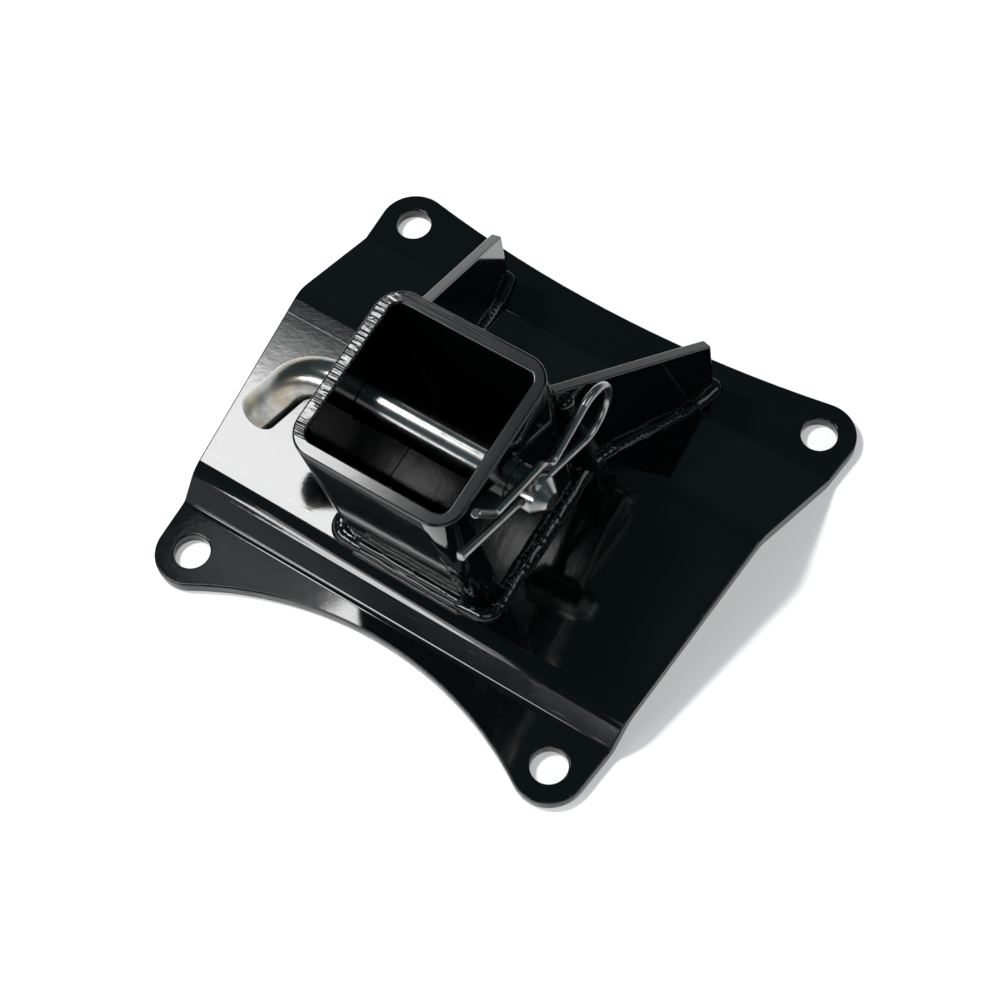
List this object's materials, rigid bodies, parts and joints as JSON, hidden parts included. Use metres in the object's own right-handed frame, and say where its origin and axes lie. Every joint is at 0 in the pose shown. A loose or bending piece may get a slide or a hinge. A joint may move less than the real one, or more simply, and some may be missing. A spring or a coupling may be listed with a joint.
{
  "type": "receiver hitch",
  "caption": "Folded steel hat plate with bolt ears, a tilted square receiver tube welded on with two gussets, and a bent hitch pin held by a hairpin clip.",
  "frame": {"origin": "midway between the top bolt holes, on the back face of the top flange", "axes": "+Z out of the plate towards the receiver, +X to the right along the bolt rows, +Y towards the top flange's edge"},
  "size_m": [0.1942, 0.1756, 0.1032],
  "materials": {
    "black_powder_coat": "gloss powder coat, slight orange peel",
    "zinc_plate": "zinc plated, scratched",
    "spring_wire": "drawn spring wire, zinc plated"
  },
  "bodies": {
    "hitch": {"mounting_plate": "black_powder_coat", "receiver_tube": "black_powder_coat", "tube_weld": "black_powder_coat", "gusset_left": "black_powder_coat", "gusset_right": "black_powder_coat", "gusset_weld_left": "black_powder_coat", "gusset_weld_right": "black_powder_coat"},
    "pin": {"hitch_pin": "zinc_plate", "hairpin_clip": "spring_wire"}
  },
  "joints": [
    {"name": "pin_turn", "type": "hinge", "parent": "hitch", "child": "pin", "pos_m": [0, -0.1001, 0.07427], "axis": [1, 0, 0], "continuous": true}
  ]
}
